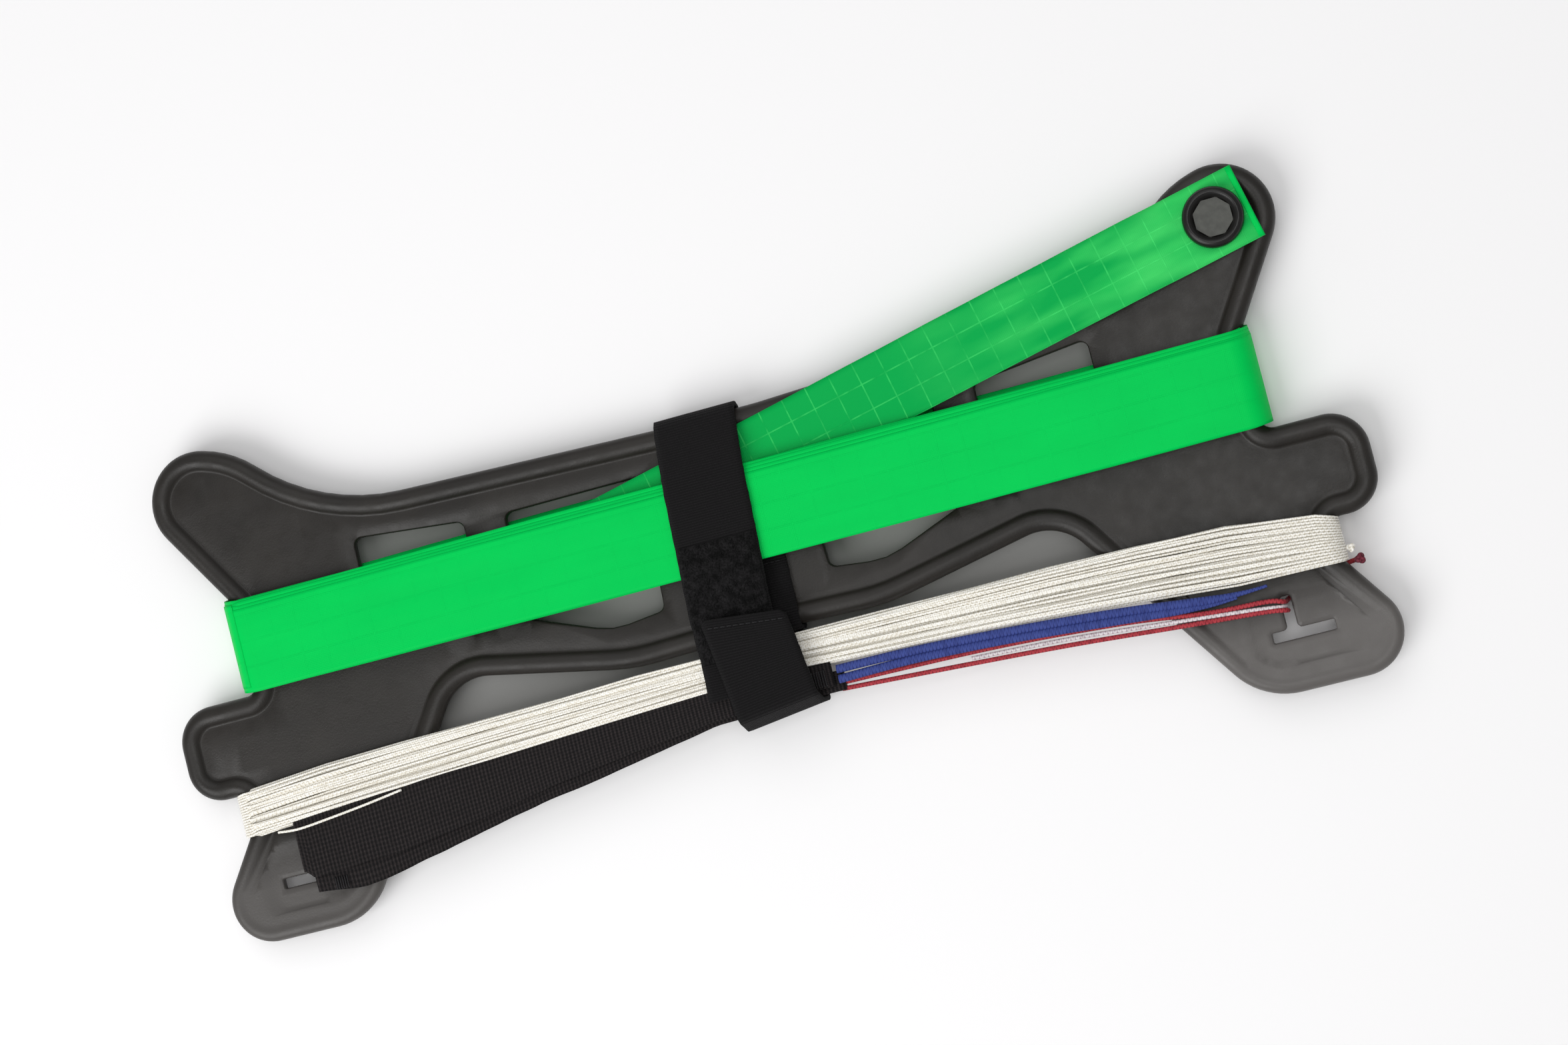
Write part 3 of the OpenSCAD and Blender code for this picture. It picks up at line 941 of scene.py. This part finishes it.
def make_snap():
    top = FLAP_Z + 0.2
    centre = free_point(SNAP_L, 0, top)
    body = lathe("snap_socket_body", [
        (0, 0), (5.55, 0), (5.8, 0.1), (5.9, 0.4), (5.86, 0.95), (5.7, 1.4), (5.4, 1.74), (4.95, 1.94),
        (4.75, 1.96), (4.5, 1.86), (4.2, 1.6), (3.95, 1.25), (3.8, 0.95), (3.75, 0.72), (0, 0.72),
    ], centre, M["snap"])
    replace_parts(body, "snap_socket")
    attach(body, "tail_end")
    ring = [math.radians(22.5 + 45 * k) for k in range(8)]
    verts = []
    for z in (0.65, 0.9):
        verts += [centre + Vector((RECESS_R * math.cos(a), RECESS_R * math.sin(a), z)) * MM for a in ring]
    faces = [tuple(reversed(range(8))), tuple(range(8, 16))]
    faces += [(k, (k + 1) % 8, 8 + (k + 1) % 8, 8 + k) for k in range(8)]
    floor = new_piece("snap_recess_floor", verts, faces, M["snap_floor"], smooth=False)
    outward(floor)
    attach(floor, "tail_end")
    cap = lathe("snap_rear_cap", [
        (0, -0.82), (3.2, -0.8), (4.6, -0.7), (5.05, -0.5), (5.2, -0.25), (5.15, -0.02), (1.6, 0.0),
        (1.6, 0.19), (0, 0.19),
    ], free_point(SNAP_L, 0, FLAP_Z), M["snap"])
    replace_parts(cap, "snap_cap")
    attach(cap, "tail_end")


make_snap()


# ---------------------------------------------------------------- flying lines
LINE_END_X = 109.9
LINE_D = 0.5
LINE_TOP = [(-116, -25.6), (-100, -24.0), (-80, -23.1), (-40, -22.4), (0, -21.7), (60, -21.2), (80, -21.4),
            (100, -22.2), (110, -24.2), (116, -26.2)]
LINE_BOTTOM = [(-116, -35.3), (-100, -34.4), (-80, -33.2), (-60, -32.0), (-40, -30.9), (-13, -29.4),
               (5, -29.2), (45, -30.7), (80, -33.0), (98, -34.6), (116, -34.8)]
COLUMNS = 17
LAYERS_EACH = 2
LAYER_STEP = 0.47
LINE_INSET = 0.3  # from the band's edge to the middle of its outermost turn


def along_list(points, x):
    """The height of a line of points at x, with straight stretches between them."""
    xs, ys = zip(*points)
    return float(np.interp(x, xs, ys))


def line_turns(first_layer):
    """(column, layer) of each turn of one flying line: to and fro across the band, layer on layer."""
    turns = []
    for layer in range(LAYERS_EACH):
        order = range(COLUMNS) if layer % 2 == 0 else reversed(range(COLUMNS))
        turns += [(column, first_layer + layer) for column in order]
    return turns


def line_path(first_layer, seed):
    rng = random.Random(seed)
    stations = loop_stations(13, 9)
    turns = line_turns(first_layer)
    jitter = [(rng.uniform(-0.3, 0.3), rng.uniform(-0.1, 0.1), rng.uniform(0, 50)) for _ in turns]
    path = []
    for t, (column, layer) in enumerate(turns):
        after = turns[min(t + 1, len(turns) - 1)]
        for k, (kind, value) in enumerate(stations):
            share = k / len(stations)
            step = ease(share * 4 - 3)
            col = column + (after[0] - column) * step
            lay = layer + (after[1] - layer) * step
            r = BUNDLE_Z + LINE_D / 2 + lay * LAYER_STEP
            x, z = station_point(kind, value, LINE_END_X, r)
            stagger = 0.5 * (1 - abs(lay % 2 - 1))
            across = (col + 0.5 + stagger) / (COLUMNS + 0.5)
            top, bottom = along_list(LINE_TOP, x) - LINE_INSET, along_list(LINE_BOTTOM, x) + LINE_INSET
            y = bottom + (top - bottom) * across
            if kind in ("front", "back"):
                side = 1 if z > 0 else -1
                y += wander(x, jitter[t][2], 0.63) + wander(x * 3, jitter[t][2] + 4, 0.3) + jitter[t][0]
                crown = 0.16 * math.sin(math.pi * across)
                z += side * (0.3 * wander(x * 1.4, jitter[t][2] + 9, 1.0) + jitter[t][1] + crown)
                z -= side * 0.25 * ease(1 - min(across, 1 - across) * 7)
            path.append(at(x, y, z))
    return path


def make_line(name, node, first_layer, seed):
    path = line_path(first_layer, seed)
    verts, faces, uvs = tube(path, LINE_D / 2 * MM, LINE_D / 2 * MM, 6)
    piece = new_piece(name, verts, faces, M["line"], uvs=uvs)
    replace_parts(piece, node)
    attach(piece, "winder")


make_line("flying_line_left", "flying_line_left_wound", 0, 11)
make_line("flying_line_right", "flying_line_right_wound", LAYERS_EACH, 23)


# ---------------------------------------------------------------- loose strand and end knot
STRAND_ROUTE = [
    (-106, -34.9, 3.4), (-101, -35.2, 4.7), (-94, -34.6, 4.9), (-86, -33.7, 4.9), (-78, -32.6, 4.6),
]


def make_strand():
    path = smooth_route([at(*p) for p in STRAND_ROUTE], 8)
    verts, faces, uvs = tube(path, LINE_D / 2 * MM, LINE_D / 2 * MM, 8)
    piece = new_piece("flying_line_strand", verts, faces, M["line"], uvs=uvs)
    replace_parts(piece, "flying_line_tail_strand")
    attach(piece, "winder")


def overhand_knot(name, middle, size, cord_r, material, turn=0.0):
    """A small pulled-tight trefoil knot of cord, size across."""
    path = []
    for i in range(49):
        a = 2 * math.pi * i / 48
        x = (math.sin(a) + 2 * math.sin(2 * a)) / 3
        y = (math.cos(a) - 2 * math.cos(2 * a)) / 3
        z = -math.sin(3 * a) / 2.2
        c, s = math.cos(turn), math.sin(turn)
        path.append(middle + Vector((x * c - y * s, x * s + y * c, z)) * (size / 2 - cord_r))
    verts, faces, uvs = tube(path, cord_r, cord_r, 8)
    piece = new_piece(name, verts, faces, material, uvs=uvs)
    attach(piece, "winder")
    return piece


make_strand()
line_knot_x = LINE_END_X + BUNDLE_Z + 4 * LAYER_STEP + 0.7
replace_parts(overhand_knot("flying_line_end_knot", at(line_knot_x, -32.2, 0.6), 1.9 * MM, 0.27 * MM,
                          M["line"]), "flying_line_knot")


# ---------------------------------------------------------------- leaders
BLUE_UPPER = [
    (14, -30.6, 4), (30, -30.8, 4), (50, -31.8, 4), (70, -33.4, 4), (86, -35.2, 3.4), (93, -35.5, 3.1),
    (98, -35.3, 3),
]
BLUE_LOWER = [
    (14, -32.6, 4), (30, -32.4, 4), (50, -33.3, 4), (70, -34.9, 4), (86, -36.2, 3.3), (92, -36.1, 3.1),
]
RED_UPPER = [
    (14, -33.4, 2.6), (45, -34, 2.6), (70, -35.6, 3), (86, -37.6, 3), (97, -38.2, 3), (100, -38.9, 2.6),
    (100.6, -39.1, 0), (101.2, -38.7, -2.4), (104, -37.6, -3), (110, -35.6, -3), (114, -34.8, -2.2),
    (116, -34.6, -0.5),
]
RED_LOWER = [
    (14, -34.6, 2.6), (40, -36, 2.6), (60, -37.2, 2.8), (80, -38.8, 3), (96, -40, 3), (100, -40.6, 2.6),
    (100.6, -40.8, 0.4),
]
CORE_ROUTE = [
    (40, -35, 2.6), (60, -36, 2.8), (80, -37.8, 3), (94, -39.1, 3), (99.4, -39.8, 2.6), (100.5, -40, 0.6),
]


def make_leader(name, node, route, wide, thick, material, slot, tapered=0.0):
    """One strand of a leader: a flat woven sleeve along its route. Its end narrows over tapered metres."""
    sides = 12
    path = smooth_route([at(*p) for p in route], 10)
    verts, faces, uvs = tube(path, wide * MM, thick * MM, sides)
    if tapered:
        for i, middle in enumerate(path):
            share = 0.35 + 0.65 * ease((path[-1] - middle).length / tapered)
            for k in range(i * sides, (i + 1) * sides):
                verts[k] = middle + (Vector(verts[k]) - middle) * share
    piece = new_piece(name, verts, faces, M[material], uvs=uvs)
    if node:
        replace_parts(piece, node)
    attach(piece, "winder")


# half width and half thickness in millimetres, material, slot and the taper's length in metres
BLUE_SLEEVE = (0.85, 0.5, "blue", "blue_sleeve", 0.014)
RED_SLEEVE = (0.46, 0.42, "red", "red_sleeve")
make_leader("leader_blue_upper_strand", "leader_blue_upper", BLUE_UPPER, *BLUE_SLEEVE)
make_leader("leader_blue_lower_strand", "leader_blue_lower", BLUE_LOWER, *BLUE_SLEEVE)
make_leader("leader_red_upper_strand", "leader_red_upper", RED_UPPER, *RED_SLEEVE)
make_leader("leader_red_lower_strand", "leader_red_lower", RED_LOWER, *RED_SLEEVE)
make_leader("leader_core_strand", None, CORE_ROUTE, 0.38, 0.34, "grey", "line_braid")
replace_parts(overhand_knot("leader_red_end_knot", at(116, -34.6, 0.8), 2.3 * MM, 0.4 * MM,
                          M["red_knot"], 0.6), "leader_red_knot")


# ---------------------------------------------------------------- wrist straps
STRAP_UPPER_TOP = [(-101.8, -33.6), (-80, -32.2), (-60, -31.0), (-40, -30.0), (-13, -28.6), (13, -28.8)]
STRAP_UPPER_BOTTOM = [(-101.8, -43.9), (-100.4, -45.6), (-80, -44.4), (-60, -41.6), (-45, -38.8),
                      (-30, -36.8), (-12, -34.8), (13, -33.6)]
STRAP_LOWER_TOP = [(-100.2, -38.0), (-80, -36.5), (-40, -33.0), (-12, -30.6), (15, -31.0)]
STRAP_LOWER_BOTTOM = [(-100.2, -48.6), (-91, -49.7), (-85, -49.0), (-60, -43.9), (-50, -41.9), (-40, -40.5),
                      (-12, -35.6), (12, -34.9), (15, -34.9)]
PLY_T = 0.5
TACK_R = 0.14 * MM
STITCH_L = 0.85 * MM
STITCH_R = 0.12 * MM
STITCH_PITCH = 1.25


def webbing_loop(name, node, top, bottom, low_z, seed):
    """A flattened loop of webbing: a lower ply, a fold at the feet's end, and an upper ply."""
    left, right = top[0][0], top[-1][0]
    steps = 70
    xs = [right + (left - right) * i / steps for i in range(steps + 1)]
    gap_z = 0.56

    def row(x, z, share=1.0):
        y0, y1 = along_list(top, x), along_list(bottom, x)
        pts = []
        for w in np.linspace(0, 1, 13):
            y = y0 + (y1 - y0) * w
            curl = 0.22 * (2 * w - 1) ** 4
            wave = 0.22 * noise.noise(Vector((x * 0.05, y * 0.12, seed)))
            pts.append(at(x, y + 0.12 * noise.noise(Vector((x * 0.2, w, seed + 5))), z - curl * share + wave))
        return pts

    rows = [row(x, low_z + PLY_T / 2) for x in xs]
    for k in range(1, 6):
        a = math.pi * k / 6
        fold = row(left, low_z + PLY_T / 2 + gap_z / 2 * (1 - math.cos(a)))
        rows.append([p - Vector((0.45 * math.sin(a) * MM, 0, 0)) for p in fold])
    rows += [row(x, low_z + PLY_T / 2 + gap_z) for x in reversed(xs)]
    verts, faces = solid_strip(rows, PLY_T * MM * 0.9)
    uvs, _ = strip_uvs(rows)
    piece = new_piece(name, verts, faces, M["webbing"], uvs=uvs)
    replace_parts(piece, node)
    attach(piece, "winder")


webbing_loop("wrist_strap_right_loop", "wrist_strap_right", STRAP_LOWER_TOP, STRAP_LOWER_BOTTOM, 2.2, 3.0)
webbing_loop("wrist_strap_left_loop", "wrist_strap_left", STRAP_UPPER_TOP, STRAP_UPPER_BOTTOM, 3.3, 8.0)


def stitches(name, nodes, starts, direction, length, radius, body="winder"):
    """Short raised thread stitches, one at each start point."""
    verts, faces, uvs = [], [], []
    step = Vector(direction).normalized() * length
    for start in starts:
        lift = Vector((0, 0, radius))
        path = [start, start + step * 0.15 + lift, start + step * 0.85 + lift, start + step]
        v, f, u = tube(path, radius, radius, 6)
        join_mesh(verts, faces, v, f)
        uvs += u
    piece = new_piece(name, verts, faces, M["thread"], uvs=uvs)
    if nodes:
        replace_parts(piece, *nodes)
    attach(piece, body)


stitches("wrist_strap_left_tack", ["wrist_strap_left_bartack"],
         [at(9 + 0.5 * i, -33.4, 4.42) for i in range(6)], (0, 1, 0), 3.2 * MM, TACK_R)
stitches("wrist_strap_right_tack", ["wrist_strap_right_bartack"],
         [at(-96.5 + 0.5 * i, -49.0, 3.34) for i in range(6)], (0, 1, 0), 2.6 * MM, TACK_R)


# ---------------------------------------------------------------- closure strap
STRAP_W = 16.6
STRAP_T = 0.9
MID_OUT = STRAP_IN_Z + STRAP_T / 2


def bent_path(corners, arc_step=0.22):
    """Points along an open path of corners (y, z, radius), with straight ends."""
    out = [Vector(corners[0][:2])]
    for i in range(1, len(corners) - 1):
        before, p, after = (Vector(corners[j][:2]) for j in (i - 1, i, i + 1))
        r = corners[i][2]
        middle, start, turn = corner_arc(before, p, after, r)
        steps = max(2, math.ceil(abs(turn) / arc_step))
        out += [middle + Vector((math.cos(start + turn * k / steps), math.sin(start + turn * k / steps))) * r
                for k in range(steps + 1)]
    out.append(Vector(corners[-1][:2]))
    dense = [out[0]]
    for a, b in zip(out, out[1:]):
        count = max(1, math.ceil((b - a).length / 1.2))
        dense += [a + (b - a) * k / count for k in range(1, count + 1)]
    return dense


def strap_strip(name, path, middle_x, material, width=STRAP_W, thickness=STRAP_T, seed=0.0):
    """A strap laid along path, points of y and z. middle_x(y, z) is where its middle runs."""
    rows = []
    for p in path:
        x = middle_x(p.x, p.y)
        row = []
        for w in np.linspace(-0.5, 0.5, 15):
            fray = 0.12 * noise.noise(Vector((p.x * 0.9, w * 3, seed + p.y))) if abs(w) > 0.49 else 0.0
            puff = 0.10 * noise.noise(Vector((w * 5, p.x * 0.25, seed + 3)))
            side = 1 if p.y > 0 else -1
            row.append(at(x + w * width + fray, p.x, p.y + side * (puff - 0.12 * abs(2 * w) ** 6)))
        rows.append(row)
    verts, faces = solid_strip(rows, thickness * MM)
    uvs, _ = strip_uvs(rows)
    return new_piece(name, verts, faces, material, uvs=uvs)


def front_lean(y, z):
    """The front run leans to the right at the top; the back run crosses over to the tab's side."""
    return -2.7 + 0.046 * y + 0.6 * ease((-12 - y) / 14) if z > 0 else -1.2 - 0.024 * y


def make_closure_strap():
    path = bent_path([
        (-31, MID_OUT, 0), (13.2, MID_OUT, 3), (25.1, 2.7, 2.4), (25.1, -2.7, 2.4), (13.2, -MID_OUT, 3),
        (-28.4, -MID_OUT, 0),
    ])

    def middle(y, z):
        top = ease((y - 20) / 6)
        blended = front_lean(y, 1) * (0.5 + 0.5 * min(1, max(-1, z / 2.7)))
        blended += front_lean(y, -1) * (0.5 - 0.5 * min(1, max(-1, z / 2.7)))
        return front_lean(y, z) * (1 - top) + blended * top

    piece = strap_strip("closure_strap_band", path, middle, M["closure"], seed=1.0)
    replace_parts(piece, "closure_strap")
    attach(piece, "winder")


TAB_X = -2.9
TAB_LEAN = math.radians(7.5)
TAB_Z = STRAP_IN_Z + STRAP_T + 0.5 + 0.3 + 0.5
TAB_TIP_Y = -16.0
TAB_HINGE_Y = -37.05
TIP_SKEW = 0.24  # the tip is cut aslant: how far it drops for each millimetre across


def tab_point(x, y, z):
    """A point in the tab's own frame: x across it, y along it, both turned a little on the plate."""
    c, s = math.cos(TAB_LEAN), math.sin(TAB_LEAN)
    return at(TAB_X + x * c - y * s, x * s + y * c, z)


def make_tab():
    path = bent_path([
        (-27.6, -MID_OUT - 0.1, 0), (-31.5, -MID_OUT + 0.1, 2), (TAB_HINGE_Y, -3.0, 2.2),
        (TAB_HINGE_Y, 3.1, 1.8), (-35.2, TAB_Z + STRAP_T / 2, 1.6), (TAB_TIP_Y, TAB_Z + STRAP_T / 2, 0),
    ])
    rows = []
    for p in path:
        row = []
        for w in np.linspace(-0.5, 0.5, 15):
            near_tip = ease((p.x - TAB_TIP_Y + 1.4) / 1.4) if p.y > TAB_Z else 0
            corner = 0.9 * max(0, abs(w) - 0.44) / 0.06 * near_tip
            fray = 0.12 * noise.noise(Vector((p.x * 0.8, w * 3, p.y + 7))) if abs(w) > 0.49 else 0.0
            puff = 0.12 * noise.noise(Vector((w * 5, p.x * 0.3, 11)))
            droop = 0.14 * abs(2 * w) ** 6
            side = 1 if p.y > 0 else -1
            skew = TIP_SKEW * w * STRAP_W * ease((p.x + 32) / 16) if p.y > TAB_Z else 0.0
            row.append(tab_point(w * STRAP_W + fray, p.x - corner - skew, p.y + side * (puff - droop)))
        rows.append(row)
    verts, faces = solid_strip(rows, STRAP_T * MM)
    uvs, _ = strip_uvs(rows)
    piece = new_piece("closure_strap_tab", verts, faces, M["closure"], uvs=uvs)
    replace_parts(piece, "strap_hook_tab")
    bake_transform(piece)


def fuzzy_patch(name, node, point, x0, x1, y0, y1, z, height, material, body, seed, curls):
    """A patch of pile: a low rounded pad with short curled threads standing on it."""
    rng = random.Random(seed)
    nx, ny = 16, 26
    rows = []
    for j in range(ny + 1):
        y = y0 + (y1 - y0) * j / ny
        row = []
        for i in range(nx + 1):
            x = x0 + (x1 - x0) * i / nx
            edge = min(i, nx - i, j, ny - j)
            h = height * (0.35 if edge == 0 else 0.85 if edge == 1 else 1.0)
            lump = 0.12 * noise.noise(Vector((x * 0.7, y * 0.7, seed)))
            rag = 0.25 * noise.noise(Vector((x * 0.9, y * 0.9, seed + 4))) if edge == 0 else 0.0
            row.append(point(x + rag, y + rag, z + (h + lump) * 0.5))
        rows.append(row)
    verts, faces = solid_strip(rows, height * 0.8 * MM)
    for _ in range(curls):
        x, y = rng.uniform(x0 + 0.4, x1 - 0.4), rng.uniform(y0 + 0.3, y1 - 0.3)
        a, size = rng.uniform(0, math.pi), rng.uniform(0.22, 0.5)
        path = []
        for k in range(6):
            t = math.pi * k / 5
            along, up = -size * math.cos(t), size * 0.5 * math.sin(t)
            path.append(point(x + along * math.cos(a), y + along * math.sin(a), z + height * 0.72 + up))
        v, f, _ = tube(path, 0.06 * MM, 0.06 * MM, 4)
        join_mesh(verts, faces, v, f)
    piece = new_piece(name, verts, faces, M[material])
    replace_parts(piece, node)
    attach(piece, body)


def front_point(x, y, z):
    """A point on the strap's front run: x across it from its middle."""
    return at(front_lean(y, 1) + x, y, z)


def make_anchor():
    """The strap's first turn, round the plate under the windings."""
    path = bent_path([
        (6, 1.75, 0), (-14.6, 1.75, 2), (-17.2, 2.75, 1.2), (-20.9, 2.4, 1.2), (-20.9, -2.4, 1.2),
        (-17.2, -2.75, 1.2), (-14.6, -1.75, 2), (6, -1.75, 0),
    ])
    piece = strap_strip("closure_strap_first_turn", path, lambda y, z: 0.9, M["closure"],
                        thickness=0.8, seed=5.0)
    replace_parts(piece, "closure_strap_anchor")
    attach(piece, "winder")


make_closure_strap()
make_tab()
make_anchor()
fuzzy_patch("strap_loop_pile", "strap_loop_patch", front_point, -7.9, 7.9, -23.6, -0.4, MID_OUT + STRAP_T / 2,
            0.5, "loop", "winder", 3, 900)
fuzzy_patch("strap_hook_pile", "strap_hook_patch", tab_point, -7.4, 7.4, -31.0, -18.4, TAB_Z - 0.5, 0.42,
            "hook", "strap_tab", 9, 500)
stitches("closure_strap_seam", ["closure_strap_stitching"],
         [at(0.9 - 7.4 + STITCH_PITCH * i, -7.2, 2.22) for i in range(12)], (1, 0, 0), STITCH_L, STITCH_R)
seam_angle = TAB_LEAN + TIP_SKEW * -0.97
seam_x = np.arange(-7.2, 7.2, STITCH_PITCH)
stitches("closure_strap_tab_seam", ["strap_tab_stitching"],
         [tab_point(x, TAB_TIP_Y - 1.8 - TIP_SKEW * x, TAB_Z + STRAP_T) for x in seam_x],
         (math.cos(seam_angle), math.sin(seam_angle), 0), STITCH_L, STITCH_R, body="strap_tab")
